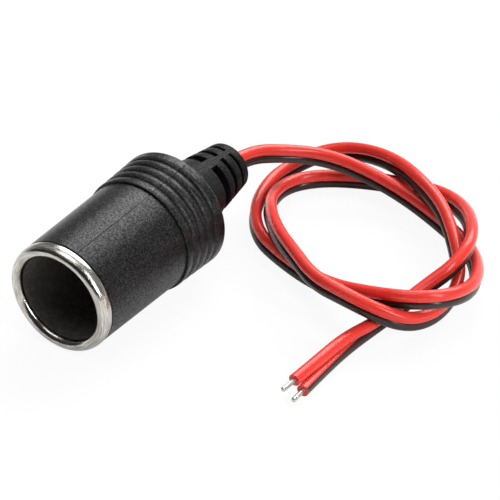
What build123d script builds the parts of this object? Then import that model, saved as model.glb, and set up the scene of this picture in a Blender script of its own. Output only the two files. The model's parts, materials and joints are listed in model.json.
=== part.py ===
from build123d import *
import math
import os

# In-line 12 V accessory socket with a moulded housing and a bare-ended twin lead.
# Millimetres, +Z up. The socket lies on its side on the plane Z = 0, with its mouth towards -Y
# and its lead leaving towards +Y. The origin is under the middle of the housing and shell.
# Stations along the body are measured from the front of the lip.

# Shell: the plated steel cup that lines the bore, with a rolled lip round its mouth
bore_diameter = 21.0
shell_wall = 0.6
bore_depth = 34.2
neck_diameter = 18.6
shell_depth = 38.5
shell_floor_hole = 9.0
lip_diameter = 26.4
lip_length = 3.0
lip_inner_roll = 1.5
lip_outer_roll = 2.0
lip_back_corner = 0.4

# Housing: barrel, collar with beads, shoulder and strain relief
barrel_length = 26.7
barrel_front_diameter = 26.3
barrel_rear_diameter = 27.3
barrel_edge = 0.3
collar_front_diameter = 28.3
collar_rear_diameter = 29.4
bead_count = 4
bead_pitch = 2.6
groove_depth = 0.5
band_length = 3.1
band_edge = 0.8
shoulder_length = 2.6
shoulder_fillet = 1.2
relief_length = 19.2
relief_root_diameter = 17.6
relief_end_diameter = 12.0
relief_end_edge = 0.5

# Slots of the relief, from its end inwards; a spine is left along the parting line, top and bottom
end_ring = 2.5
slot_web = 2.3
end_slot_width = 0.9
middle_slot_width = 1.3
front_slot_width = 2.4
narrow_spine_width = 1.25
wide_spine_width = 2.7
sleeve_diameter = 8.4

# Roll of the lying body about its axis, which turns the parting line from the top towards +X
parting_angle = 18.6

# Centre contact stack on the floor of the shell
insulator_thickness = 1.8
contact_head_diameter = 8.0
contact_head_height = 2.6
contact_dome = 0.9
contact_shank_diameter = 3.2
washer_diameter = 11.0
washer_thickness = 1.2
rivet_tail_diameter = 5.0
rivet_tail_height = 0.7

# Solder tags
tag_thickness = 0.6
tag_width = 4.0
tag_eye_diameter = 7.4
tag_tongue_length = 8.0
earth_foot_margin = 0.7

# Twin lead: red core above, black core below
core_diameter = 2.8
core_spacing = 2.9
wire_diameter = 1.1
bared_length = 4.2
bared_tip = 0.35
insulation_in_relief = 6.7
straight_exit = 5.8
wire_step_margin = 1.5

# Gaps between moulded-in pieces and the plastic round them, and between metal pieces
moulding_gap = 0.05
hole_gap = 0.1

# Middle line of the lead from just outside the relief to where the cores split
lead_route = [
    (6.0, 49.5, 12.8), (13.0, 56.0, 10.6), (22.0, 59.2, 7.8), (32.5, 59.5, 5.2), (43.5, 57.0, 3.2),
    (54.0, 52.0, 2.8), (60.8, 44.9, 4.0), (66.1, 36.0, 6.3), (68.3, 27.8, 8.4), (66.7, 20.1, 10.2),
    (61.4, 15.0, 10.7), (52.5, 13.8, 9.0), (42.1, 14.9, 6.2), (31.1, 19.6, 3.3), (20.8, 23.5, 2.8),
    (12.0, 27.6, 3.0), (4.7, 36.5, 3.0), (0.6, 48.6, 3.0), (1.4, 57.5, 3.4), (4.7, 65.1, 4.6),
    (11.5, 68.4, 6.2), (20.1, 67.7, 7.8), (29.1, 64.0, 9.4), (38.0, 58.5, 10.3), (47.0, 52.9, 9.6),
    (55.0, 45.1, 6.8), (60.9, 37.6, 3.7), (63.1, 28.4, 2.8), (63.0, 19.8, 3.5), (60.6, 13.1, 5.6),
    (55.0, 9.0, 9.0), (48.0, 8.0, 10.8), (39.9, 8.9, 11.3), (30.2, 15.6, 10.7), (22.3, 21.5, 9.6),
    (13.7, 30.3, 7.4), (6.4, 40.7, 4.1), (4.5, 51.0, 2.8), (9.5, 58.1, 2.8), (18.8, 63.4, 2.8),
    (29.5, 66.4, 3.1), (41.0, 64.8, 4.9), (50.7, 57.3, 7.7), (57.5, 48.2, 10.4), (61.2, 40.6, 11.0),
    (61.2, 33.8, 9.2), (58.2, 28.0, 6.3), (55.5, 20.6, 3.5), (54.0, 11.6, 2.8),
]
red_split_end = [(52.5, 2.3, 4.4), (52.2, -8.5, 4.15), (51.7, -16.3, 3.7)]
black_split_end = [(52.8, 2.3, 1.45), (53.1, -8.0, 1.45), (53.6, -15.8, 1.45)]

# Direction from the black core to the red one along the loose lead, before it is squared to the run
lead_lean = (0.34, -0.36, 1.0)

# Stations along the body
lip_back = lip_length
collar_front = lip_back + barrel_length
collar_rear = collar_front + bead_count * bead_pitch + band_length
relief_root = collar_rear + shoulder_length
body_length = relief_root + relief_length
shell_back = shell_depth + shell_wall
insulator_front = shell_depth - insulator_thickness
washer_back = shell_back + washer_thickness
tag_back = washer_back + tag_thickness
tongue_end = washer_back + tag_tongue_length
strip_station = body_length - insulation_in_relief

bore_radius = bore_diameter / 2
shell_radius = bore_radius + shell_wall
neck_outer_radius = neck_diameter / 2 + shell_wall
neck_back = bore_depth + shell_wall
lip_radius = lip_diameter / 2
wire_radius = wire_diameter / 2
half_spacing = core_spacing / 2
shank_hole = contact_shank_diameter + 2 * hole_gap

# Heights of the tag tongues over the body's axis: the wire lies under the positive tongue
# and over the earth tongue
positive_tongue = tag_eye_diameter / 2 - tag_thickness
positive_wire = positive_tongue - wire_radius
earth_tongue = washer_diameter / 2 + hole_gap
earth_wire = earth_tongue - wire_radius
earth_foot = neck_outer_radius - earth_foot_margin


def turned(*edges):
    """Solid of revolution about Z from edges drawn as (radius, station)."""
    return revolve(Plane.XZ * make_face(Curve() + list(edges)), Axis.Z)


def pillar(diameter, start, end):
    """Round bar about Z between two stations."""
    return Pos(0, 0, start) * Cylinder(diameter / 2, end - start, align=(Align.CENTER, Align.CENTER, Align.MIN))


def slab(width, low, high, start, end):
    """Bar centred on X between two heights over the axis and two stations; up is -Y in the body's frame."""
    size = Box(width, high - low, end - start, align=(Align.CENTER, Align.MAX, Align.MIN))
    return Pos(0, -low, start) * size


def tube(points, radii, diameter):
    """Round rod along straight runs joined by tangent arcs."""
    path = FilletPolyline(*points, radius=radii)
    section = Plane(origin=path @ 0, z_dir=path % 0) * Circle(diameter / 2)
    return sweep(section, path=path)


def make_shell():
    lip_middle = (bore_radius + lip_radius) / 2
    half_lip = (lip_radius - bore_radius) / 2
    inner_roll = EllipticalCenterArc((lip_middle, lip_inner_roll), half_lip, lip_inner_roll, 180, arc_size=90)
    outer_roll = EllipticalCenterArc((lip_middle, lip_outer_roll), half_lip, lip_outer_roll, 270, arc_size=90)
    outside = Polyline(
        (lip_radius, lip_outer_roll),
        (lip_radius, lip_back - lip_back_corner),
        (lip_radius - lip_back_corner, lip_back),
        (shell_radius, lip_back),
        (shell_radius, neck_back),
        (neck_outer_radius, neck_back),
        (neck_outer_radius, shell_back),
        (shell_floor_hole / 2, shell_back),
        (shell_floor_hole / 2, shell_depth),
        (neck_diameter / 2, shell_depth),
        (neck_diameter / 2, bore_depth),
        (bore_radius, bore_depth),
        (bore_radius, lip_inner_roll),
    )
    return turned(inner_roll, outer_roll, outside)


def collar_radius(station):
    along = (station - collar_front) / (collar_rear - collar_front)
    return (collar_front_diameter + along * (collar_rear_diameter - collar_front_diameter)) / 2


def collar_edges():
    """Beads from groove to groove, then the plain band; the first bead starts at a square step."""
    edges = []
    start = (collar_radius(collar_front), collar_front)
    for index in range(bead_count):
        crest_station = collar_front + (index + 0.5) * bead_pitch
        groove_station = collar_front + (index + 1) * bead_pitch
        crest = (collar_radius(crest_station), crest_station)
        groove = (collar_radius(groove_station) - groove_depth, groove_station)
        edges.append(ThreePointArc(start, crest, groove))
        start = groove
    band_start = (collar_radius(start[1] + bead_pitch / 2), start[1] + bead_pitch / 2)
    rise = (collar_radius(start[1] + bead_pitch / 5) - groove_depth / 4, start[1] + bead_pitch / 5)
    edges.append(ThreePointArc(start, rise, band_start))
    return edges, band_start


def make_relief_slots():
    """Ring-shaped cuts down to the sleeve, with the spines left in; up is along the parting line."""
    slots = []
    station = body_length - end_ring
    layout = [
        (end_slot_width, narrow_spine_width),
        (middle_slot_width, narrow_spine_width),
        (front_slot_width, wide_spine_width),
    ]
    for width, spine_width in layout:
        ring = pillar(collar_rear_diameter, station - width, station)
        ring -= pillar(sleeve_diameter, station - width, station)
        reach = collar_rear_diameter / 2
        ring -= slab(spine_width, -reach, reach, station - width, station)
        slots.append(ring)
        station -= width + slot_web
    return Compound(slots)


def make_housing_form():
    beads, band_start = collar_edges()
    band_radius = collar_rear_diameter / 2
    root_radius = relief_root_diameter / 2
    end_radius = relief_end_diameter / 2
    barrel = Polyline(
        (0, lip_back),
        (barrel_front_diameter / 2 - barrel_edge, lip_back),
        (barrel_front_diameter / 2, lip_back + barrel_edge),
        (barrel_rear_diameter / 2, collar_front),
        (collar_radius(collar_front), collar_front),
    )
    rear = FilletPolyline(
        band_start,
        (band_radius, collar_rear),
        (root_radius, relief_root),
        (end_radius, body_length),
        (0, body_length),
        radius=[band_edge, shoulder_fillet, relief_end_edge],
    )
    axis = Line((0, body_length), (0, lip_back))
    return turned(barrel, *beads, rear, axis) - make_relief_slots()


def make_insulator():
    flange = pillar(neck_diameter - 2 * hole_gap, insulator_front, shell_depth)
    boss = pillar(shell_floor_hole - 2 * hole_gap, shell_depth, shell_back)
    return flange + boss - pillar(shank_hole, insulator_front, shell_back)


def make_contact():
    head_front = insulator_front - contact_head_height
    shoulder = head_front + contact_dome
    head_radius = contact_head_diameter / 2
    shank_radius = contact_shank_diameter / 2
    tail_radius = rivet_tail_diameter / 2
    dome_radius = (head_radius**2 + contact_dome**2) / (2 * contact_dome)
    halfway = head_front + dome_radius - math.sqrt(dome_radius**2 - (head_radius / 2) ** 2)
    dome = ThreePointArc((0, head_front), (head_radius / 2, halfway), (head_radius, shoulder))
    outside = Polyline(
        (head_radius, shoulder),
        (head_radius, insulator_front),
        (shank_radius, insulator_front),
        (shank_radius, tag_back),
        (tail_radius, tag_back),
        (tail_radius - rivet_tail_height, tag_back + rivet_tail_height),
        (0, tag_back + rivet_tail_height),
        (0, head_front),
    )
    return turned(dome, outside)


def make_washer():
    return pillar(washer_diameter, shell_back, washer_back) - pillar(shank_hole, shell_back, washer_back)


def make_positive_tag():
    """Eye round the rivet, bent at its edge into a tongue that runs back towards the red core."""
    eye = pillar(tag_eye_diameter, washer_back, tag_back)
    eye += slab(tag_width, 0, tag_eye_diameter / 2, washer_back, tag_back)
    tongue = slab(tag_width, positive_tongue, tag_eye_diameter / 2, washer_back, tongue_end)
    return eye + tongue - pillar(shank_hole, washer_back, tag_back)


def make_negative_tag():
    """Foot welded to the back of the shell, bent into a tongue under the black core's wire."""
    foot = slab(tag_width, -earth_foot, -earth_tongue, shell_back, shell_back + tag_thickness)
    tongue = slab(tag_width, -earth_tongue - tag_thickness, -earth_tongue, shell_back, tongue_end)
    return foot + tongue


def wire_joint(core_height, tag_height, diameter):
    """Bared wire from the end of the insulation, stepped over to lie on its tag."""
    points = [
        (0, -core_height, strip_station),
        (0, -core_height, strip_station - wire_step_margin),
        (0, -tag_height, tongue_end),
        (0, -tag_height, tongue_end - tag_tongue_length / 2),
    ]
    return tube(points, wire_diameter, diameter)


def make_lead_bores():
    """Bores of both cores joined into one figure of eight, and the channels of the bared wires."""
    bores = slab(core_diameter / 2, -half_spacing, half_spacing, strip_station, body_length)
    wires = [(half_spacing, positive_wire), (-half_spacing, -earth_wire)]
    for core_height, tag_height in wires:
        bore = pillar(core_diameter + 2 * moulding_gap, strip_station, body_length)
        bores += Pos(0, -core_height, 0) * bore
        bores += wire_joint(core_height, tag_height, wire_diameter + 2 * moulding_gap)
    return bores


def make_housing():
    """The outer form less what is moulded into it: shell, washer, rivet tail, tags, wires and cores."""
    gap = 2 * moulding_gap
    inside = pillar(2 * shell_radius + gap, lip_back, neck_back)
    inside += pillar(2 * neck_outer_radius + gap, neck_back, shell_back)
    inside += pillar(washer_diameter + gap, shell_back, washer_back)
    inside += pillar(tag_eye_diameter + gap, washer_back, tag_back)
    inside += pillar(rivet_tail_diameter + gap, tag_back, tag_back + rivet_tail_height)
    positive_top = tag_eye_diameter / 2 + moulding_gap
    inside += slab(tag_width + gap, positive_tongue - moulding_gap, positive_top, washer_back, tongue_end)
    earth_low = -earth_tongue - tag_thickness - moulding_gap
    inside += slab(tag_width + gap, earth_low, -earth_tongue + moulding_gap, shell_back, tongue_end)
    foot_low = -earth_foot - moulding_gap
    inside += slab(tag_width + gap, foot_low, earth_low, shell_back, shell_back + tag_thickness)
    return make_housing_form() - inside - make_lead_bores()


def rest_tilt():
    """The socket lies on its lip and on the collar's rear band, nose down."""
    rise = (collar_rear_diameter - lip_diameter) / 2
    return math.degrees(math.atan2(rise, collar_rear - band_edge - lip_outer_roll))


def core_route(body_place, side, split_end):
    """Points of one core: half the spacing off the middle line, square to it, towards the pair's own up."""
    exit_station = body_length + straight_exit
    inner = (body_place * Pos(0, 0, strip_station)).position
    outer = (body_place * Pos(0, 0, exit_station)).position
    body_up = (body_place * Pos(0, -1, 0)).position - body_place.position
    middle = [inner, outer] + [Vector(*point) for point in lead_route]
    points = []
    for index, point in enumerate(middle):
        before = middle[max(index - 1, 0)]
        after = middle[index + 1] if index + 1 < len(middle) else Vector(*split_end[0])
        if index == 1:
            after = point
        along = (after - before).normalized()
        lean = body_up if index < 2 else Vector(*lead_lean)
        upright = (lean - along * along.dot(lean)).normalized()
        points.append(point + upright * side * half_spacing)
    return points + [Vector(*point) for point in split_end]


def corner_radii(points):
    """Each arc as large as its two runs allow."""
    radii = []
    for before, point, after in zip(points, points[1:], points[2:]):
        first = point - before
        second = after - point
        turn = math.radians(first.get_angle(second))
        radii.append(0.45 * min(first.length, second.length) / math.tan(turn / 2))
    return radii


def bared_end(points):
    """Tinned strands that stick out of the far end of a core."""
    direction = (points[-1] - points[-2]).normalized()
    rod = pillar(wire_diameter, 0, bared_length)
    rod = fillet(rod.faces().sort_by(Axis.Z)[-1].edges(), bared_tip)
    return Plane(origin=points[-1], z_dir=direction).location * rod


body = {
    "housing": make_housing(),
    "socket_shell": make_shell(),
    "contact_insulator": make_insulator(),
    "centre_contact": make_contact(),
    "insulating_washer": make_washer(),
    "positive_tag": make_positive_tag(),
    "negative_tag": make_negative_tag(),
    "red_wire_joint": wire_joint(half_spacing, positive_wire, wire_diameter),
    "black_wire_joint": wire_joint(-half_spacing, -earth_wire, wire_diameter),
}

# Lay the body on its side and stand its lowest line on Z = 0, centred over the origin
lie_down = Rot(rest_tilt() - 90, 0, 0) * Rot(0, 0, parting_angle)
box = (lie_down * Compound([body["housing"], body["socket_shell"]])).bounding_box()
body_place = Pos(-box.center().X, -box.center().Y, -box.min.Z) * lie_down
nodes = {name: body_place * solid for name, solid in body.items()}

cores = {"red": (1, red_split_end), "black": (-1, black_split_end)}
for colour, (side, split_end) in cores.items():
    points = core_route(body_place, side, split_end)
    radii = corner_radii(points)
    nodes[colour + "_core"] = tube(points, radii, core_diameter)
    nodes[colour + "_wire_end"] = bared_end(points)
    print(colour, "core radii", [round(radius, 1) for radius in radii])

os.makedirs("parts", exist_ok=True)
for name, solid in nodes.items():
    export_step(solid, f"parts/{name}.step")
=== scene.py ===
import bpy
import bmesh
import json
import math
from mathutils import Matrix, Vector


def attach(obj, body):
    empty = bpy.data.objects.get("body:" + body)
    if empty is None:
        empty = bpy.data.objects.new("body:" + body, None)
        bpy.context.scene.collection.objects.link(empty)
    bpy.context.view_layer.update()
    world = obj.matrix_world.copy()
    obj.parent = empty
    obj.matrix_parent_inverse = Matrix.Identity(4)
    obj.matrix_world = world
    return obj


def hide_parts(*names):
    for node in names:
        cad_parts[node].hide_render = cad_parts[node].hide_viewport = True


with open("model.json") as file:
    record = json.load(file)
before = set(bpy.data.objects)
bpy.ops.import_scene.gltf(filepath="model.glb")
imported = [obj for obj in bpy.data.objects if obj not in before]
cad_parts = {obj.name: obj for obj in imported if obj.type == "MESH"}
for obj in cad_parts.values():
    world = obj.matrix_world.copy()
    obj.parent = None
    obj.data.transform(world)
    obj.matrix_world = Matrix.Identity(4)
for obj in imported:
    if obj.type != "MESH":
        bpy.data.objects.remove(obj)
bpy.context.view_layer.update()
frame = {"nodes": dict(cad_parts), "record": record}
mm = 0.001
hair = 1e-7  # metres; a point nearer to a plane than this lies on it
print("frame loaded:", len(frame["nodes"]), "nodes")


# where the socket lies: stations run along its axis from the front of the lip
socketPlace = {
    "mouthToBoreMiddle": 17.85 * mm,  # the record gives the middle of the bore's wall
    "partingAngle": 18.6,  # degrees from the top towards +X
}

boreMount = next(m for m in frame["record"]["mounts"] if m["name"] == "socket_bore")
axisBack = -Vector(boreMount["axis"]).normalized()  # from the mouth towards the lead
mouth = Vector(boreMount["pos_m"]) - axisBack * socketPlace["mouthToBoreMiddle"]
sideways = Vector((1, 0, 0))
down = axisBack.cross(sideways)
bodyMatrix = Matrix.Translation(mouth) @ Matrix((sideways, down, axisBack)).transposed().to_4x4()
mouldTurn = Matrix.Rotation(math.radians(socketPlace["partingAngle"] - 90), 4, "Z")
mouldMatrix = bodyMatrix @ mouldTurn  # X along the parting line, Z along the axis
partingUp = (mouldMatrix.to_3x3() @ Vector((1, 0, 0))).normalized()


def alongAxis(station):
    return mouth + axisBack * station


# modelling helpers

def deselectAll():
    if bpy.context.object and bpy.context.object.mode == "EDIT":
        bpy.ops.object.mode_set(mode="OBJECT")
    bpy.ops.object.select_all(action="DESELECT")


# names the new primitive and opens it for editing
def startPiece(name):
    piece = bpy.context.object
    piece.name = name
    piece.data.name = name
    bpy.ops.object.mode_set(mode="EDIT")
    bpy.ops.mesh.select_all(action="SELECT")
    return piece


# selects those faces, edges or points of the piece that a test picks
def selectWhere(piece, kind, wanted):
    bpy.ops.mesh.select_all(action="DESELECT")
    bpy.ops.mesh.select_mode(type=kind)
    mesh = bmesh.from_edit_mesh(piece.data)
    for part in {"FACE": mesh.faces, "EDGE": mesh.edges, "VERT": mesh.verts}[kind]:
        part.select_set(wanted(part))
    bmesh.update_edit_mesh(piece.data)


# draws (radius, station) points in millimetres in the XZ plane, by extruding one vertex along
def drawProfile(name, points, closed=False):
    places = [Vector((radius * mm, 0, station * mm)) for radius, station in points]
    deselectAll()
    bpy.ops.mesh.primitive_plane_add(size=mm)
    piece = startPiece(name)
    bpy.ops.mesh.merge(type="CENTER")
    bpy.ops.transform.translate(value=places[0])
    for before, place in zip(places, places[1:]):
        bpy.ops.mesh.extrude_region_move(TRANSFORM_OT_translate={"value": place - before})
    if closed:  # only the two loose ends are picked, so that the outline gets no face of its own
        selectWhere(piece, "VERT", lambda vertex: len(vertex.link_edges) == 1)
        bpy.ops.mesh.edge_face_add()
    bpy.ops.mesh.select_all(action="SELECT")
    return piece


def spin(angle, steps):
    bpy.ops.mesh.spin(steps=steps, angle=-angle, center=(0, 0, 0), axis=(0, 0, 1))


def turnAboutAxis(angle):
    bpy.ops.transform.rotate(value=angle, orient_axis="Z", center_override=(0, 0, 0))


# threshold in millimetres
def cleanMesh(threshold):
    bpy.ops.mesh.select_mode(type="VERT")
    bpy.ops.mesh.select_all(action="SELECT")
    bpy.ops.mesh.remove_doubles(threshold=threshold * mm)
    bpy.ops.mesh.normals_make_consistent(inside=False)


# moves a finished mesh to its place and leaves its object at the origin
def settle(piece, matrix, smoothAngle):
    deselectAll()
    piece.select_set(True)
    bpy.context.view_layer.objects.active = piece
    piece.matrix_world = matrix
    bpy.ops.object.transform_apply(location=True, rotation=True, scale=True)
    bpy.ops.object.shade_smooth_by_angle(angle=math.radians(smoothAngle))


# angles in degrees
def arcPoints(centre, radii, start, end, steps):
    points = []
    for step in range(steps + 1):
        angle = math.radians(start + (end - start) * step / steps)
        across = centre[0] + radii[0] * math.cos(angle)
        along = centre[1] + radii[1] * math.sin(angle)
        points.append((across, along))
    return points


# rounds the corner between two straight runs
def roundedCorner(before, corner, after, radius, steps):
    before, corner, after = Vector(before), Vector(corner), Vector(after)
    toBefore = (before - corner).normalized()
    toAfter = (after - corner).normalized()
    halfAngle = toBefore.angle(toAfter) / 2
    reach = radius / math.tan(halfAngle)
    centre = corner + (toBefore + toAfter).normalized() * (radius / math.sin(halfAngle))
    first = corner + toBefore * reach - centre
    last = corner + toAfter * reach - centre
    points = []
    for step in range(steps + 1):
        mixed = first.lerp(last, step / steps).normalized() * radius
        points.append(tuple(centre + mixed))
    return points


# points after the start along the arc of a bead, from groove over crest to groove
def beadPoints(start, crest, end, steps):
    (ax, ay), (bx, by), (cx, cy) = start, crest, end
    spread = 2 * (ax * (by - cy) + bx * (cy - ay) + cx * (ay - by))
    aa, bb, cc = ax * ax + ay * ay, bx * bx + by * by, cx * cx + cy * cy
    centre = Vector((
        (aa * (by - cy) + bb * (cy - ay) + cc * (ay - by)) / spread,
        (aa * (cx - bx) + bb * (ax - cx) + cc * (bx - ax)) / spread,
    ))
    first = Vector(start) - centre
    last = Vector(end) - centre
    radius = first.length
    points = []
    for step in range(1, steps + 1):
        points.append(tuple(centre + first.lerp(last, step / steps).normalized() * radius))
    return points


# radius at a station of a straight taper between two (radius, station) points
def taperRadius(station, start, end):
    along = (station - start[1]) / (end[1] - start[1])
    return start[0] + along * (end[0] - start[0])


# node helpers

def newMaterial(name):
    material = bpy.data.materials.new(name)
    material.use_nodes = True
    nodes = material.node_tree.nodes
    return material, nodes, material.node_tree.links, nodes["Principled BSDF"]


# links a socket to another node's output, or sets it to a plain value
def feed(links, socket, part):
    if isinstance(part, bpy.types.NodeSocket):
        links.new(part, socket)
    else:
        socket.default_value = part


def mixColours(nodes, links, factor, low, high):
    mixed = nodes.new("ShaderNodeMix")
    mixed.data_type = "RGBA"
    links.new(factor, mixed.inputs["Factor"])
    feed(links, mixed.inputs[6], low)  # 6, 7 and output 2 are this node's colour sockets
    feed(links, mixed.inputs[7], high)
    return mixed.outputs[2]


# a mask's 0 and 1 become two colours
def rampBetween(nodes, links, source, low, high):
    return mixColours(nodes, links, source, (*low, 1), (*high, 1))


# a mask's 0 and 1 become two numbers
def rangeBetween(nodes, links, source, low, high):
    span = nodes.new("ShaderNodeMapRange")
    span.inputs["To Min"].default_value = low
    span.inputs["To Max"].default_value = high
    links.new(source, span.inputs["Value"])
    return span.outputs["Result"]


# a mask that is 0 at the low number and 1 at the high one
def shareBetween(nodes, links, source, low, high):
    share = nodes.new("ShaderNodeMapRange")
    share.inputs["From Min"].default_value = low
    share.inputs["From Max"].default_value = high
    links.new(source, share.inputs["Value"])
    return share.outputs["Result"]


def addMath(nodes, links, kind, operation, parts):
    joined = nodes.new(kind)
    joined.operation = operation
    for socket, part in zip(joined.inputs, parts):
        feed(links, socket, part)
    return joined.outputs


def joinValues(nodes, links, operation, *parts):
    return addMath(nodes, links, "ShaderNodeMath", operation, parts)["Value"]


def joinVectors(nodes, links, operation, *parts, result="Vector"):
    return addMath(nodes, links, "ShaderNodeVectorMath", operation, parts)[result]


def objectPlace(nodes):
    return nodes.new("ShaderNodeTexCoord").outputs["Object"]


# distance in front of a plane, for each point of the piece
def aheadOfPlane(nodes, links, through, facing):
    offset = joinVectors(nodes, links, "SUBTRACT", objectPlace(nodes), through)
    return joinVectors(nodes, links, "DOT_PRODUCT", offset, facing, result="Value")


def addNoise(nodes, links, place, scale, look):
    noise = nodes.new("ShaderNodeTexNoise")
    links.new(place, noise.inputs["Vector"])
    feed(links, noise.inputs["Scale"], scale)
    for key, value in look.items():
        noise.inputs[key].default_value = value
    return noise.outputs["Fac"]


def addBump(nodes, links, shader, height, distance, strength):
    bump = nodes.new("ShaderNodeBump")
    bump.inputs["Distance"].default_value = distance
    bump.inputs["Strength"].default_value = strength
    links.new(height, bump.inputs["Height"])
    links.new(bump.outputs["Normal"], shader.inputs["Normal"])


# shared effects, each with one scale that goes in and its masks that come out
grainPattern = {
    "noise": {"Detail": 3, "Roughness": 0.65},
    "sharpen": (0.38, 0.66),
    "pitShare": 0.5,
    "speckleFall": 2,  # how few of the grains are bright
}
rubPattern = {
    "noise": {"Detail": 4, "Distortion": 0.4},
    "stretch": (0.3, 0.7),
}


def newGroup(name, scaleName, maskNames):
    group = bpy.data.node_groups.new(name, "ShaderNodeTree")
    group.interface.new_socket(scaleName, in_out="INPUT", socket_type="NodeSocketFloat")
    for maskName in maskNames:
        group.interface.new_socket(maskName, in_out="OUTPUT", socket_type="NodeSocketFloat")
    scale = group.nodes.new("NodeGroupInput").outputs[scaleName]
    masks = group.nodes.new("NodeGroupOutput").inputs
    return group, group.nodes, group.links, scale, masks


# fine spark-eroded grain of a mould, as height and as a speckle mask
def makeMouldGrain(pattern):
    group, nodes, links, scale, masks = newGroup("mouldGrain", "Grain Scale", ["Height", "Speckle"])
    place = objectPlace(nodes)
    fine = addNoise(nodes, links, place, scale, pattern["noise"])
    sharp = shareBetween(nodes, links, fine, *pattern["sharpen"])
    pits = nodes.new("ShaderNodeTexVoronoi")
    pits.feature = "SMOOTH_F1"
    grains = nodes.new("ShaderNodeTexVoronoi")
    for cells in (pits, grains):
        links.new(place, cells.inputs["Vector"])
        links.new(scale, cells.inputs["Scale"])
    apart = nodes.new("ShaderNodeSeparateColor")
    links.new(grains.outputs["Color"], apart.inputs["Color"])
    depth = pits.outputs["Distance"]
    height = joinValues(nodes, links, "MULTIPLY_ADD", depth, pattern["pitShare"], sharp)
    speckle = joinValues(nodes, links, "POWER", apart.outputs["Red"], pattern["speckleFall"])
    links.new(height, masks["Height"])
    links.new(speckle, masks["Speckle"])
    return group


# broad uneven rubbing and dust, as a mask between 0 and 1
def makeHandling(pattern):
    group, nodes, links, scale, masks = newGroup("handling", "Patch Scale", ["Rub"])
    broad = addNoise(nodes, links, objectPlace(nodes), scale, pattern["noise"])
    links.new(shareBetween(nodes, links, broad, *pattern["stretch"]), masks["Rub"])
    return group


mouldGrain = makeMouldGrain(grainPattern)
handling = makeHandling(rubPattern)


# puts a shared effect into a material at that material's own scale, and returns its masks
def addGroup(nodes, group, scale):
    node = nodes.new("ShaderNodeGroup")
    node.node_tree = group
    node.inputs[0].default_value = scale
    return node.outputs


# roughness that varies with handling; returns the mask, which a colour may follow too
def addRub(nodes, links, shader, look):
    rub = addGroup(nodes, handling, look["patchScale"])["Rub"]
    links.new(rangeBetween(nodes, links, rub, *look["roughness"]), shader.inputs["Roughness"])
    return rub


def addPatches(nodes, links, shader, look):
    rub = addRub(nodes, links, shader, look)
    colour = rampBetween(nodes, links, rub, look["dullAndPaintedReflectionColour"], look["colour"])
    links.new(colour, shader.inputs["Base Color"])


def makePlastic(name, look):
    material, nodes, links, shader = newMaterial(name)
    addRub(nodes, links, shader, look)
    grain = addGroup(nodes, mouldGrain, look["grainScale"])
    colour = rampBetween(nodes, links, grain["Speckle"], look["pitColour"], look["colour"])
    links.new(colour, shader.inputs["Base Color"])
    shader.inputs["Specular IOR Level"].default_value = look["specular"]
    shader.inputs["Coat Roughness"].default_value = look["glintRoughness"]
    glint = rangeBetween(nodes, links, grain["Speckle"], 0, look["glint"])
    links.new(glint, shader.inputs["Coat Weight"])
    addBump(nodes, links, shader, grain["Height"], look["grainDepth"], look["grainStrength"])
    return material


# bare metal that is duller in patches
def makeMetal(name, look):
    material, nodes, links, shader = newMaterial(name)
    addPatches(nodes, links, shader, look)
    shader.inputs["Metallic"].default_value = 1
    return material


# camera at the photograph's angle
cameraSetup = {
    "azimuth": 34.73,
    "elevation": 32.84,
    "distance": 550 * mm,
    "aim": Vector((27.82, 1.57, 18.64)) * mm,
    "lens": 179.76,
    "sensor": 36.0,
    "clip": (0.01, 20),
}


def makeCamera(setup):
    azimuth = math.radians(setup["azimuth"])
    elevation = math.radians(setup["elevation"])
    back = Vector((
        math.sin(azimuth) * math.cos(elevation),
        -math.cos(azimuth) * math.cos(elevation),
        math.sin(elevation),
    ))
    deselectAll()
    bpy.ops.object.camera_add(location=setup["aim"] + back * setup["distance"])
    camera = bpy.context.object
    camera.name = "photoCamera"
    camera.rotation_mode = "QUATERNION"
    camera.rotation_quaternion = (-back).to_track_quat("-Z", "Y")
    camera.data.lens = setup["lens"]
    camera.data.sensor_width = setup["sensor"]
    camera.data.clip_start, camera.data.clip_end = setup["clip"]
    bpy.context.scene.camera = camera


makeCamera(cameraSetup)
print("camera placed")


# twin lead: red core above, black core below, along the same listed middle line
leadShape = {
    "coreDiameter": 2.8 * mm,
    "coreSpacing": 2.9 * mm,
    "insideStation": 58.3 * mm,
    "exitStation": 65.0 * mm,
    "outsideStation": 70.8 * mm,
    "lean": Vector((0.34, -0.36, 1.0)),  # from the black core to the red one, along the loose lead
    "redLength": 522 * mm,
    "blackLength": 523 * mm,
    "roundness": 10,
    "stepsPerPoint": 18,
}

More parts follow.
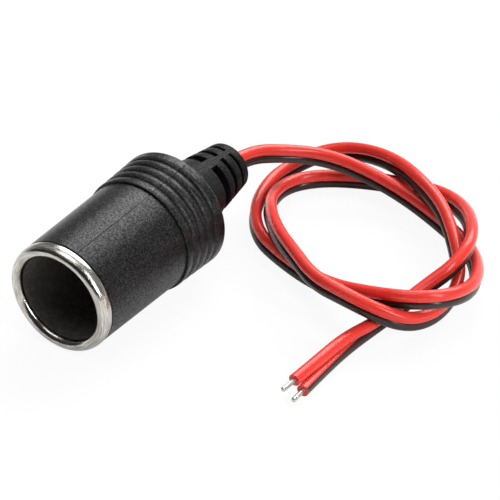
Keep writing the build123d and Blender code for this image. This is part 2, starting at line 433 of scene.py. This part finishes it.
# middle line in millimetres, from just outside the relief to where the cores split
leadRoute = [
    (6.0, 49.5, 12.8), (13.0, 56.0, 10.6), (22.0, 59.2, 7.8), (32.5, 59.5, 5.2), (43.5, 57.0, 3.2),
    (54.0, 52.0, 2.8), (60.8, 44.9, 4.0), (66.1, 36.0, 6.3), (68.3, 27.8, 8.4), (66.7, 20.1, 10.2),
    (61.4, 15.0, 10.7), (52.5, 13.8, 9.0), (42.1, 14.9, 6.2), (31.1, 19.6, 3.3), (20.8, 23.5, 2.8),
    (12.0, 27.6, 3.0), (4.7, 36.5, 3.0), (0.6, 48.6, 3.0), (1.4, 57.5, 3.4), (4.7, 65.1, 4.6),
    (11.5, 68.4, 6.2), (20.1, 67.7, 7.8), (29.1, 64.0, 9.4), (38.0, 58.5, 10.3), (47.0, 52.9, 9.6),
    (55.0, 45.1, 6.8), (60.9, 37.6, 3.7), (63.1, 28.4, 2.8), (63.0, 19.8, 3.5), (60.6, 13.1, 5.6),
    (55.0, 9.0, 9.0), (48.0, 8.0, 10.8), (39.9, 8.9, 11.3), (30.2, 15.6, 10.7), (22.3, 21.5, 9.6),
    (13.7, 30.3, 7.4), (6.4, 40.7, 4.1), (4.5, 51.0, 2.8), (9.5, 58.1, 2.8), (18.8, 63.4, 2.8),
    (29.5, 66.4, 3.1), (41.0, 64.8, 4.9), (50.7, 57.3, 7.7), (57.5, 48.2, 10.4), (61.2, 40.6, 11.0),
    (61.2, 33.8, 9.2), (58.2, 28.0, 6.3), (55.5, 20.6, 3.5), (54.0, 11.6, 2.8),
]
redSplitEnd = [(52.5, 2.3, 4.4), (52.2, -8.5, 4.15), (51.7, -16.3, 3.7)]
blackSplitEnd = [(52.8, 2.3, 1.45), (53.1, -8.0, 1.45), (53.6, -15.8, 1.45)]


# points of one core, half the spacing off the middle line and square to it
def coreRoute(side, splitEnd):
    inner = alongAxis(leadShape["insideStation"])
    outer = alongAxis(leadShape["outsideStation"])
    split = [Vector(point) * mm for point in splitEnd]
    middle = [inner, outer] + [Vector(point) * mm for point in leadRoute]
    points = []
    for index, point in enumerate(middle):
        before = middle[max(index - 1, 0)]
        after = middle[index + 1] if index + 1 < len(middle) else split[0]
        if index == 1:
            after = point  # the lead leaves the relief along its axis
        along = (after - before).normalized()
        lean = partingUp if index < 2 else leadShape["lean"]
        upright = (lean - along * along.dot(lean)).normalized()
        points.append(point + upright * side * leadShape["coreSpacing"] / 2)
    return points + split


def makeCore(name, points, material):
    line = bpy.data.curves.new(name, "CURVE")
    line.dimensions = "3D"
    line.resolution_u = leadShape["stepsPerPoint"]
    spline = line.splines.new("NURBS")
    spline.points.add(len(points) - 1)
    for target, point in zip(spline.points, points):
        target.co = (*point, 1)
    spline.order_u = 3  # this and the next line hold only once the points are there
    spline.use_endpoint_u = True
    line.bevel_depth = leadShape["coreDiameter"] / 2
    line.bevel_resolution = leadShape["roundness"]
    line.use_fill_caps = True
    line.materials.append(material)
    core = bpy.data.objects.new(name, line)
    bpy.context.scene.collection.objects.link(core)
    return core


vinylColours = {
    "redVinyl": {"colour": (0.84, 0.047, 0.034), "dullAndPaintedReflectionColour": (0.76, 0.039, 0.028)},
    "blackVinyl": {"colour": (0.040, 0.027, 0.024), "dullAndPaintedReflectionColour": (0.030, 0.019, 0.016)},
}
vinylSkin = {
    "roughness": (0.20, 0.30),
    "specular": 0.36,
    "patchScale": 160,
    "grainScale": 900,
    "grainDepth": 0.000004,
    "grainStrength": 0.35,
}
# red skin left on the black core where the two are torn apart, from the split to the cut end
tornSkin = {
    "facing": (-0.707, -0.040, 0.707),  # the side that faces the red core
    "through": Vector((53.55, -15.8, 1.45)) * mm,
    "margin": 0.10 * mm,
    "splitStart": 6.0 * mm,
    "softness": 0.06 * mm,
    "cutFacing": (0.064, -0.998, 0),
    "cutRim": 0.05 * mm,
    "colour": (0.78, 0.075, 0.058),
}


# soft insulation: a slight mottle in colour, uneven gloss and a faint extruded waviness
def makeVinyl(name, skin):
    material, nodes, links, shader = newMaterial(name)
    addPatches(nodes, links, shader, {**skin, **vinylColours[name]})
    shader.inputs["Specular IOR Level"].default_value = skin["specular"]
    grain = addGroup(nodes, mouldGrain, skin["grainScale"])
    addBump(nodes, links, shader, grain["Height"], skin["grainDepth"], skin["grainStrength"])
    return material


# a slanting plane parts the torn red skin from the black; the cut end shows the same red
def addTornSkin(material, torn):
    nodes, links = material.node_tree.nodes, material.node_tree.links
    shader = nodes["Principled BSDF"]
    black = shader.inputs["Base Color"].links[0].from_socket
    soft = torn["softness"]

    def maskAhead(through, facing, behind, softness):
        ahead = aheadOfPlane(nodes, links, through, facing)
        return shareBetween(nodes, links, ahead, -behind - softness, softness - behind)

    side = maskAhead(torn["through"], torn["facing"], torn["margin"], soft)
    beyond = maskAhead(Vector((0, torn["splitStart"], 0)), (0, -1, 0), 0, soft)
    cut = maskAhead(torn["through"], torn["cutFacing"], torn["cutRim"], soft / 2)
    skin = joinValues(nodes, links, "MULTIPLY", side, beyond)
    mask = joinValues(nodes, links, "MAXIMUM", skin, cut)
    mixed = mixColours(nodes, links, mask, black, (*torn["colour"], 1))
    links.new(mixed, shader.inputs["Base Color"])


redVinyl = makeVinyl("redVinyl", vinylSkin)
blackVinyl = makeVinyl("blackVinyl", vinylSkin)
addTornSkin(blackVinyl, tornSkin)
redPoints = coreRoute(1, redSplitEnd)
blackPoints = coreRoute(-1, blackSplitEnd)
redLead = makeCore("redLead", redPoints, redVinyl)
blackLead = makeCore("blackLead", blackPoints, blackVinyl)
print("cores laid")


# moulded housing, in millimetres: one half is spun from the parting line and slotted, then copied
housingShape = {
    "lipBack": 3.0,
    "boreWall": 11.15,
    "neckWall": 9.95,
    "neckStation": 34.85,
    "floorStation": 39.15,
    "roomRadius": 7.3,
    "roomEnd": 49.5,
    "barrelFront": 13.15,
    "barrelRear": 13.65,
    "barrelEdge": 0.3,
    "collarFront": 29.7,
    "collarFrontEdge": 0.2,
    "collarFrontRadius": 14.15,
    "collarRearRadius": 14.7,
    "beadCount": 4,
    "beadPitch": 2.6,
    "grooveDepth": 0.5,
    "bandLength": 3.1,
    "bandEdge": 0.8,
    "shoulderFillet": 1.2,
    "reliefRoot": 45.8,
    "rootRadius": 8.8,
    "endRadius": 6.0,
    "endEdge": 0.5,
    "bodyLength": 65.0,
    "sleeveRadius": 4.2,
    # from, to, half the spine in degrees
    "slots": [(61.6, 62.5, 5.5), (58.0, 59.3, 5.5), (53.3, 55.7, 10.4)],
    "slotRim": 0.12,
    "rimSegments": 2,
    "rimProfile": 0.6,
    "seamHalfWidth": 0.07,
    "seamDepth": 0.14,
    "coreRoom": 0.06,  # between a core and its hole
    "coreHoleSides": 64,
    "coreHolePast": 2.0,  # how far the cutter stands out of the relief
    "smoothFrom": 44.6,  # the collar's grain ends at this station
    "smoothAngle": 32,
    "beadSteps": 8,
    "cornerSteps": 5,
    "columns": [4, 4, 92, 4, 4],  # faces round the half, from one spine's edge to the next
    "halfMerge": 0.002,
    "wholeMerge": 0.004,
}
# how near an edge lies to a slot's rim to count as part of it, in millimetres and degrees
rimRoom = {"along": 0.02, "deep": 0.3, "around": 0.2}


def reliefRadius(shape, station):
    rootCorner = (shape["rootRadius"], shape["reliefRoot"])
    endCorner = (shape["endRadius"], shape["bodyLength"])
    return taperRadius(station, rootCorner, endCorner)


def housingProfile(shape):
    collarRear = shape["collarFront"] + shape["beadCount"] * shape["beadPitch"] + shape["bandLength"]
    collarStart = (shape["collarFrontRadius"], shape["collarFront"])
    bandCorner = (shape["collarRearRadius"], collarRear)
    rootCorner = (shape["rootRadius"], shape["reliefRoot"])
    endCorner = (shape["endRadius"], shape["bodyLength"])
    tip = (0, shape["bodyLength"])
    corners = shape["cornerSteps"]

    def onCollar(station, depth=0):
        return (taperRadius(station, collarStart, bandCorner) - depth, station)

    inside = [
        (0, shape["roomEnd"]),
        (shape["roomRadius"], shape["roomEnd"]),
        (shape["roomRadius"], shape["floorStation"]),
        (shape["neckWall"], shape["floorStation"]),
        (shape["neckWall"], shape["neckStation"]),
        (shape["boreWall"], shape["neckStation"]),
        (shape["boreWall"], shape["lipBack"]),
    ]
    barrel = [
        (shape["barrelFront"] - shape["barrelEdge"], shape["lipBack"]),
        (shape["barrelFront"], shape["lipBack"] + shape["barrelEdge"]),
        (shape["barrelRear"], shape["collarFront"]),
    ]
    behind = (shape["collarFrontRadius"], collarRear)
    barrel += roundedCorner(barrel[-1], collarStart, behind, shape["collarFrontEdge"], corners)
    collar = []
    start = barrel[-1]
    for bead in range(shape["beadCount"]):
        crest = onCollar(shape["collarFront"] + (bead + 0.5) * shape["beadPitch"])
        groove = shape["collarFront"] + (bead + 1) * shape["beadPitch"]
        end = onCollar(groove, shape["grooveDepth"])
        collar += beadPoints(start, crest, end, shape["beadSteps"])
        start = end
    bandStart = onCollar(start[1] + shape["beadPitch"] / 2)
    bandRise = onCollar(start[1] + shape["beadPitch"] / 5, shape["grooveDepth"] / 4)
    collar += beadPoints(start, bandRise, bandStart, shape["beadSteps"])
    rear = roundedCorner(bandStart, bandCorner, rootCorner, shape["bandEdge"], corners)
    rear += roundedCorner(bandCorner, rootCorner, endCorner, shape["shoulderFillet"], corners)
    for fromStation, toStation, spine in sorted(shape["slots"]):
        for station in (fromStation, toStation):
            rear.append((reliefRadius(shape, station), station))
    rear += roundedCorner(rootCorner, endCorner, tip, shape["endEdge"], corners)
    return inside + barrel + collar + rear + [tip]


def aroundAngle(place):
    return math.degrees(math.atan2(place.y, place.x))


# the half's columns stand on the edges of the spines, so that a slot is a block of whole faces
def spinHalf(shape):
    spines = sorted({slot[2] for slot in shape["slots"]})
    seam = math.degrees(shape["seamHalfWidth"] / shape["barrelRear"])
    stops = [seam] + spines + [180 - spine for spine in reversed(spines)] + [180 - seam]
    piece = drawProfile("mouldedHousing", housingProfile(shape))
    turnAboutAxis(-math.radians(seam))
    for start, stop, count in zip(stops, stops[1:], shape["columns"]):
        spin(math.radians(stop - start), count)
    return piece


def cutSlots(piece, shape):
    for fromStation, toStation, spine in shape["slots"]:
        def inSlot(face):
            place = face.calc_center_median()
            outside = math.hypot(place.x, place.y) > shape["sleeveRadius"] * mm
            along = fromStation * mm < place.z < toStation * mm
            return outside and along and spine < aroundAngle(place) < 180 - spine

        selectWhere(piece, "FACE", inSlot)
        bpy.ops.mesh.extrude_region_move()
        middle = (fromStation + toStation) / 2
        inward = shape["sleeveRadius"] / reliefRadius(shape, middle)
        bpy.ops.transform.resize(value=(inward, inward, 1), center_override=(0, 0, middle * mm))


def roundSlotRims(piece, shape):
    near, deep, turn = rimRoom["along"] * mm, rimRoom["deep"] * mm, rimRoom["around"]

    def onRim(edge):
        ends = [vertex.co for vertex in edge.verts]
        for fromStation, toStation, spine in shape["slots"]:
            low, high = fromStation * mm, toStation * mm
            if not all(low - near < end.z < high + near for end in ends):
                continue
            outer = reliefRadius(shape, (ends[0].z + ends[1].z) / 2 / mm) * mm
            if any(abs(math.hypot(end.x, end.y) - outer) > deep for end in ends):
                continue
            angles = [aroundAngle(end) for end in ends]
            inSpan = all(spine - turn < angle < 180 - spine + turn for angle in angles)
            across = abs(ends[0].z - ends[1].z) < near
            atEnds = min(abs(ends[0].z - low), abs(ends[0].z - high)) < near
            fromSpine = [min(abs(angle - spine), abs(angle - 180 + spine)) for angle in angles]
            if inSpan and ((across and atEnds) or max(fromSpine) < turn):
                return True
        return False

    selectWhere(piece, "EDGE", onRim)
    rim = shape["slotRim"] * mm
    bpy.ops.mesh.bevel(offset=rim, segments=shape["rimSegments"], profile=shape["rimProfile"])


# the half's two open edges fold inwards and meet on the parting plane, which leaves a hairline
def foldSeams(piece, shape):
    for side in (1, -1):
        def openOnSide(edge):
            return edge.is_boundary and all(vertex.co.x * side > -hair for vertex in edge.verts)

        selectWhere(piece, "EDGE", openOnSide)
        bpy.ops.mesh.extrude_region_move()
        bpy.ops.transform.translate(value=(-side * shape["seamDepth"] * mm, 0, 0))
        bpy.ops.transform.resize(value=(1, 0, 1), center_override=(0, 0, 0))


def makeHousing(shape):
    piece = spinHalf(shape)
    cleanMesh(shape["halfMerge"])
    cutSlots(piece, shape)
    roundSlotRims(piece, shape)
    foldSeams(piece, shape)
    bpy.ops.mesh.select_mode(type="VERT")
    bpy.ops.mesh.select_all(action="SELECT")
    bpy.ops.mesh.duplicate()
    turnAboutAxis(math.pi)
    cleanMesh(shape["wholeMerge"])
    settle(piece, mouldMatrix, shape["smoothAngle"])
    boreForCores(piece, shape)
    settle(piece, Matrix.Identity(4), shape["smoothAngle"])
    return piece


# cuts one long hole for both cores with a round bar that is split and spread
def boreForCores(piece, shape):
    start = leadShape["insideStation"]
    end = leadShape["exitStation"] + shape["coreHolePast"] * mm
    radius = leadShape["coreDiameter"] / 2 + shape["coreRoom"] * mm
    middle = mouldMatrix @ Vector((0, 0, (start + end) / 2))
    deselectAll()
    bpy.ops.mesh.primitive_cylinder_add(
        vertices=shape["coreHoleSides"], radius=radius, depth=end - start, end_fill_type="NGON")
    cutter = startPiece("coreCutter")
    bpy.ops.mesh.bisect(plane_co=(0, 0, 0), plane_no=(1, 0, 0))
    for side in (1, -1):
        selectWhere(cutter, "VERT", lambda vertex: vertex.co.x * side > hair)
        bpy.ops.transform.translate(value=(side * leadShape["coreSpacing"] / 2, 0, 0))
    bpy.ops.object.mode_set(mode="OBJECT")
    cutter.matrix_world = Matrix.Translation(middle) @ mouldMatrix.to_3x3().to_4x4()
    bpy.context.view_layer.objects.active = piece
    cut = piece.modifiers.new("coreBore", "BOOLEAN")
    cut.operation = "DIFFERENCE"
    cut.solver = "EXACT"
    cut.object = cutter
    bpy.ops.object.modifier_apply(modifier=cut.name)
    bpy.data.objects.remove(cutter)


housingLooks = {
    "grainedShell": {
        "colour": (0.018, 0.018, 0.019),
        "pitColour": (0.003, 0.003, 0.003),
        "roughness": (0.32, 0.38),
        "specular": 0.14,
        "glint": 0.92,
        "glintRoughness": 0.42,
        "grainScale": 4600,
        "patchScale": 60,
        "grainDepth": 0.000008,
        "grainStrength": 1.0,
    },
    "smoothRelief": {
        "colour": (0.016, 0.016, 0.017),
        "pitColour": (0.003, 0.003, 0.003),
        "roughness": (0.38, 0.46),
        "specular": 0.06,
        "glint": 0.28,
        "glintRoughness": 0.48,
        "grainScale": 4600,
        "patchScale": 90,
        "grainDepth": 0.000006,
        "grainStrength": 1.0,
    },
}

mouldedHousing = makeHousing(housingShape)
for finish in ("grainedShell", "smoothRelief"):
    mouldedHousing.data.materials.append(makePlastic(finish, housingLooks[finish]))
for polygon in mouldedHousing.data.polygons:
    station = (polygon.center - mouth).dot(axisBack)
    polygon.material_index = 1 if station > housingShape["smoothFrom"] * mm else 0
print("housing moulded:", len(mouldedHousing.data.polygons), "faces")


# plated shell with its rolled lip, in millimetres
shellShape = {
    "bore": 10.5,
    "wall": 0.6,
    "boreDepth": 34.2,
    "neck": 9.3,
    "depth": 38.5,
    "floorHole": 4.5,
    "lip": 13.2,
    "lipBack": 3.0,
    "innerRoll": 1.5,
    "outerRoll": 2.0,
    "backCorner": 0.4,
    "paintedShadeDepth": 1.6,  # deeper than this the bore gets a dark colour that paints the shade inside it
    "rollSteps": 12,
    "cornerSteps": 4,
    "columns": 160,
    "merge": 0.004,
    "smoothAngle": 40,
}


def shellProfile(shape):
    middle = (shape["bore"] + shape["lip"]) / 2
    half = (shape["lip"] - shape["bore"]) / 2
    inner, outerRoll, steps = shape["innerRoll"], shape["outerRoll"], shape["rollSteps"]
    back = shape["lipBack"]
    outer = shape["bore"] + shape["wall"]
    neckOuter = shape["neck"] + shape["wall"]
    neckBack = shape["boreDepth"] + shape["wall"]
    shellBack = shape["depth"] + shape["wall"]
    front, corner = (shape["lip"], 0), (shape["lip"], back)
    rolls = arcPoints((middle, inner), (half, inner), 180, 270, steps)
    rolls += arcPoints((middle, outerRoll), (half, outerRoll), 270, 360, steps)[1:]
    rolls += roundedCorner(front, corner, (outer, back), shape["backCorner"], shape["cornerSteps"])
    return rolls + [
        (outer, back),
        (outer, neckBack),
        (neckOuter, neckBack),
        (neckOuter, shellBack),
        (shape["floorHole"], shellBack),
        (shape["floorHole"], shape["depth"]),
        (shape["neck"], shape["depth"]),
        (shape["neck"], shape["boreDepth"]),
        (shape["bore"], shape["boreDepth"]),
        (shape["bore"], shape["paintedShadeDepth"]),
    ]


nickelLook = {
    "colour": (0.66, 0.635, 0.595),
    # colour of the dark rings: dull polish marks, partly a painted reflection
    "dullAndPaintedReflectionColour": (0.34, 0.325, 0.30),
    "roughness": (0.07, 0.14),
    "patchScale": 220,
    "ringsPerMetre": 3800,
    "ringBreaks": 4.0,  # how often the rings break off on the way round
    "ringNoise": {"Detail": 3, "Roughness": 0.6},
    "paintedReflectionRings": (0.36, 0.64),  # heights between which a ring turns from dark to bright in colour; the dark rings are polish marks and also a painted reflection of a dark room
    "ringDepth": 0.00007,
    "grainScale": 2600,
    "grainDepth": 0.000022,
    "bumpStrength": 0.55,
}
# the bore past the shell's shade depth: a dull dark colour painted in as the shade inside the bore
paintedShadeBoreLook = {
    "colour": (0.165, 0.152, 0.140),
    "pitColour": (0.110, 0.101, 0.093),
    "roughness": (0.55, 0.75),
    "specular": 0.2,
    "glint": 0.2,
    "glintRoughness": 0.7,
    "grainScale": 1400,
    "patchScale": 120,
    "grainDepth": 0.00002,
    "grainStrength": 0.4,
}


# broken rings that polishing leaves round the axis, as a height
def polishRings(nodes, links, look):
    offset = joinVectors(nodes, links, "SUBTRACT", objectPlace(nodes), mouth)
    around = joinVectors(nodes, links, "CROSS_PRODUCT", offset, axisBack)
    radius = joinVectors(nodes, links, "LENGTH", around, result="Value")
    unit = joinVectors(nodes, links, "NORMALIZE", around)
    halfStation = aheadOfPlane(nodes, links, mouth, axisBack / 2)
    across = joinValues(nodes, links, "ADD", radius, halfStation)
    along = nodes.new("ShaderNodeVectorMath")
    along.operation = "SCALE"
    along.inputs[0].default_value = axisBack * look["ringsPerMetre"]
    links.new(across, along.inputs["Scale"])
    breaks = (look["ringBreaks"],) * 3
    spot = joinVectors(nodes, links, "MULTIPLY_ADD", unit, breaks, along.outputs["Vector"])
    return addNoise(nodes, links, spot, 1, look["ringNoise"])


def makeNickel(name, look):
    material, nodes, links, shader = newMaterial(name)
    addRub(nodes, links, shader, look)
    rings = polishRings(nodes, links, look)
    paintedReflectionStreaks = shareBetween(nodes, links, rings, *look["paintedReflectionRings"])
    # dark rings in the colour: polish marks, partly a painted reflection
    colour = rampBetween(nodes, links, paintedReflectionStreaks, look["dullAndPaintedReflectionColour"], look["colour"])
    links.new(colour, shader.inputs["Base Color"])
    shader.inputs["Metallic"].default_value = 1
    grain = addGroup(nodes, mouldGrain, look["grainScale"])
    ringHeight = rangeBetween(nodes, links, rings, 0, look["ringDepth"])
    grainHeight = rangeBetween(nodes, links, grain["Height"], 0, look["grainDepth"])
    height = joinValues(nodes, links, "ADD", ringHeight, grainHeight)
    addBump(nodes, links, shader, height, 1, look["bumpStrength"])  # the height is in metres
    return material


def makeShell(shape):
    piece = drawProfile("nickelShell", shellProfile(shape), closed=True)
    spin(2 * math.pi, shape["columns"])
    cleanMesh(shape["merge"])
    settle(piece, bodyMatrix, shape["smoothAngle"])
    piece.data.materials.append(makeNickel("brightNickel", nickelLook))
    piece.data.materials.append(makePlastic("paintedShadeBore", paintedShadeBoreLook))
    # faces deep inside the bore take the painted shade
    toLocal = bodyMatrix.inverted()
    for polygon in piece.data.polygons:
        local = toLocal @ polygon.center
        inside = math.hypot(local.x, local.y) < (shape["bore"] + shape["wall"] / 2) * mm
        polygon.material_index = 1 if inside and local.z > shape["paintedShadeDepth"] * mm else 0
    return piece


nickelShell = makeShell(shellShape)
print("shell turned:", len(nickelShell.data.polygons), "faces")


# bared ends, in millimetres: tinned strands with the twist still showing
strandShape = {
    "radius": 0.55,
    "strands": 7,
    "sidesPerStrand": 6,
    "lobe": 0.96,  # how far the creases between the strands draw in
    "creaseWidth": 0.1,
    "length": 4.2,
    "steps": 24,
    "twist": 200.0,
    "tipLength": 0.25,
    "tipNarrowing": [0.93, 0.79, 0.65],
    "merge": 0.001,
    "smoothAngle": 50,
}
tinLook = {
    "colour": (0.64, 0.63, 0.61),
    "dullAndPaintedReflectionColour": (0.50, 0.49, 0.47),
    "roughness": (0.34, 0.48),
    "patchScale": 900,
}


def makeStrands(name, points, shape):
    deselectAll()
    sides = shape["strands"] * shape["sidesPerStrand"]
    bpy.ops.mesh.primitive_circle_add(vertices=sides, radius=shape["radius"] * mm, fill_type="NGON")
    piece = startPiece(name)

    def inCrease(vertex):
        strand = math.atan2(vertex.co.y, vertex.co.x) * shape["strands"] / (2 * math.pi)
        return abs(strand - round(strand)) < shape["creaseWidth"]

    def raiseEnd(height):
        bpy.ops.mesh.extrude_region_move(TRANSFORM_OT_translate={"value": (0, 0, height * mm)})

    def narrow(share):
        bpy.ops.transform.resize(value=(share, share, 1), center_override=(0, 0, 0))

    selectWhere(piece, "VERT", inCrease)
    narrow(shape["lobe"])
    bpy.ops.mesh.select_all(action="SELECT")
    for step in range(shape["steps"]):
        raiseEnd((shape["length"] - shape["tipLength"]) / shape["steps"])
        turnAboutAxis(math.radians(shape["twist"] / shape["steps"]))
    for share in shape["tipNarrowing"]:
        raiseEnd(shape["tipLength"] / len(shape["tipNarrowing"]))
        narrow(share)
    cleanMesh(shape["merge"])
    along = (points[-1] - points[-2]).normalized()
    turned = along.to_track_quat("Z", "Y").to_matrix().to_4x4()
    settle(piece, Matrix.Translation(points[-1]) @ turned, shape["smoothAngle"])
    piece.data.materials.append(tinnedCopper)
    return piece


tinnedCopper = makeMetal("tinnedCopper", tinLook)
redStrands = makeStrands("redStrands", redPoints, strandShape)
blackStrands = makeStrands("blackStrands", blackPoints, strandShape)
print("strands twisted")


# inner pieces keep their solids and get their finishes
phenolicLook = {
    "colour": (0.045, 0.038, 0.032),
    "pitColour": (0.030, 0.025, 0.021),
    "roughness": (0.4, 0.6),
    "specular": 0.35,
    "glint": 0.2,
    "glintRoughness": 0.5,
    "grainScale": 1200,
    "patchScale": 150,
    "grainDepth": 0.00003,
    "grainStrength": 0.6,
}
fibreLook = {
    "colour": (0.30, 0.11, 0.06),
    "pitColour": (0.18, 0.06, 0.035),
    "roughness": (0.6, 0.85),
    "specular": 0.25,
    "glint": 0.2,
    "glintRoughness": 0.75,
    "grainScale": 1800,
    "patchScale": 200,
    "grainDepth": 0.00005,
    "grainStrength": 0.8,
}
brassLook = {
    "colour": (0.72, 0.53, 0.24),
    "dullAndPaintedReflectionColour": (0.50, 0.34, 0.15),
    "roughness": (0.22, 0.42),
    "patchScale": 260,
}

contactBrass = makeMetal("contactBrass", brassLook)
innerFinishes = {
    "contact_insulator": makePlastic("darkPhenolic", phenolicLook),
    "insulating_washer": makePlastic("fibreWasher", fibreLook),
    "centre_contact": contactBrass,
    "positive_tag": contactBrass,
    "negative_tag": contactBrass,
    "red_wire_joint": tinnedCopper,
    "black_wire_joint": tinnedCopper,
}
for node, material in innerFinishes.items():
    slots = frame["nodes"][node].data.materials
    slots.clear()
    slots.append(material)
print("inner pieces dressed")


# what each new piece stands for
standsFor = [
    (mouldedHousing, "housing", "housing"),
    (nickelShell, "socket_shell", "shell"),
    (redLead, "red_core", "red_core"),
    (blackLead, "black_core", "black_core"),
    (redStrands, "red_wire_end", "tinned_wire"),
    (blackStrands, "black_wire_end", "tinned_wire"),
]
for piece, node, finish in standsFor:
    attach(piece, "root")
    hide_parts(node)


# pale floor and soft studio light
studio = {
    "floorSize": 6.0,
    "floorColour": (0.93, 0.93, 0.93),
    "floorDusk": 0.985,  # share of the colour that is left in the paper's duller patches
    "floorPatches": 9,
    "floorRoughness": 0.85,
    "floorSpecular": 0.1,
    "paperGlow": 0.92,  # share of plain white that the eye sees on the floor
    "paperSheen": 0.20,  # the same share in reflections, which keep more of the shadow
    "sky": [(0.0, 0.24), (0.5, 0.16), (0.8, 0.30), (1.0, 0.45)],  # height of the direction, level
    # from front to back, strength
    "skyStrength": [(-0.8, 0.20), (-0.2, 0.35), (0.25, 2.0), (0.7, 1.3), (0.97, 3.6)],
    # name, place, size, power
    "lamps": [
        ("topBox", (-0.10, -0.12, 1.00), (0.80, 0.70), 2.9),
        ("backBox", (-0.09, 0.75, 0.75), (1.05, 0.62), 10.4),
        ("sideBox", (0.92, -0.10, 0.55), (0.14, 1.00), 6.0),
    ],
    "aim": (0.03, 0.01, 0.01),
}


# white paper that keeps the object's shadow
def makeFloor(setup):
    deselectAll()
    bpy.ops.mesh.primitive_plane_add(size=setup["floorSize"])
    floor = bpy.context.object
    floor.name = "paleFloor"
    material, nodes, links, shader = newMaterial("palePaper")
    rub = addGroup(nodes, handling, setup["floorPatches"])["Rub"]
    dusk = tuple(setup["floorDusk"] * value for value in setup["floorColour"])
    paper = rampBetween(nodes, links, rub, dusk, setup["floorColour"])
    links.new(paper, shader.inputs["Base Color"])
    shader.inputs["Roughness"].default_value = setup["floorRoughness"]
    shader.inputs["Specular IOR Level"].default_value = setup["floorSpecular"]
    path = nodes.new("ShaderNodeLightPath")
    seen = rangeBetween(nodes, links, path.outputs["Is Camera Ray"], 0, setup["paperGlow"])
    for kind in ("Is Glossy Ray", "Is Transmission Ray"):
        mirrored = rangeBetween(nodes, links, path.outputs[kind], 0, setup["paperSheen"])
        seen = joinValues(nodes, links, "MAXIMUM", seen, mirrored)
    glow = nodes.new("ShaderNodeEmission")
    blend = nodes.new("ShaderNodeMixShader")
    links.new(seen, blend.inputs["Fac"])
    links.new(shader.outputs["BSDF"], blend.inputs[1])
    links.new(glow.outputs["Emission"], blend.inputs[2])
    links.new(blend.outputs["Shader"], nodes["Material Output"].inputs["Surface"])
    floor.data.materials.append(material)


# grey levels at stops between a lowest value and 1
def levelRamp(nodes, links, source, low, stops):
    share = shareBetween(nodes, links, source, low, 1)
    ramp = nodes.new("ShaderNodeValToRGB")
    marks = ramp.color_ramp.elements
    while len(marks) < len(stops):
        marks.new(0.5)
    for mark, (place, level) in zip(marks, stops):
        mark.position = (place - low) / (1 - low)
        mark.color = (level, level, level, 1)
    links.new(share, ramp.inputs["Fac"])
    return ramp.outputs["Color"]


# a dark room in front and a lit wall behind, so that metal and dark plastic show their form
def makeWorld(setup):
    world = bpy.data.worlds.new("studioRoom")
    bpy.context.scene.world = world
    world.use_nodes = True
    nodes, links = world.node_tree.nodes, world.node_tree.links
    direction = nodes.new("ShaderNodeTexCoord")
    split = nodes.new("ShaderNodeSeparateXYZ")
    links.new(direction.outputs["Generated"], split.inputs["Vector"])
    background = nodes["Background"]
    sky = levelRamp(nodes, links, split.outputs["Z"], 0, setup["sky"])
    links.new(sky, background.inputs["Color"])
    strength = levelRamp(nodes, links, split.outputs["Y"], -1, setup["skyStrength"])
    links.new(strength, background.inputs["Strength"])


def makeLamps(setup):
    for name, place, size, power in setup["lamps"]:
        deselectAll()
        bpy.ops.object.light_add(type="AREA", location=place)
        lamp = bpy.context.object
        lamp.name = name
        lamp.data.shape = "ELLIPSE"
        lamp.data.size, lamp.data.size_y = size
        lamp.data.energy = power
        toAim = Vector(setup["aim"]) - Vector(place)
        lamp.rotation_mode = "QUATERNION"
        lamp.rotation_quaternion = toAim.to_track_quat("-Z", "Y")


makeFloor(studio)
makeWorld(studio)
makeLamps(studio)
bpy.context.scene.view_settings.view_transform = "Standard"
print("studio lit")
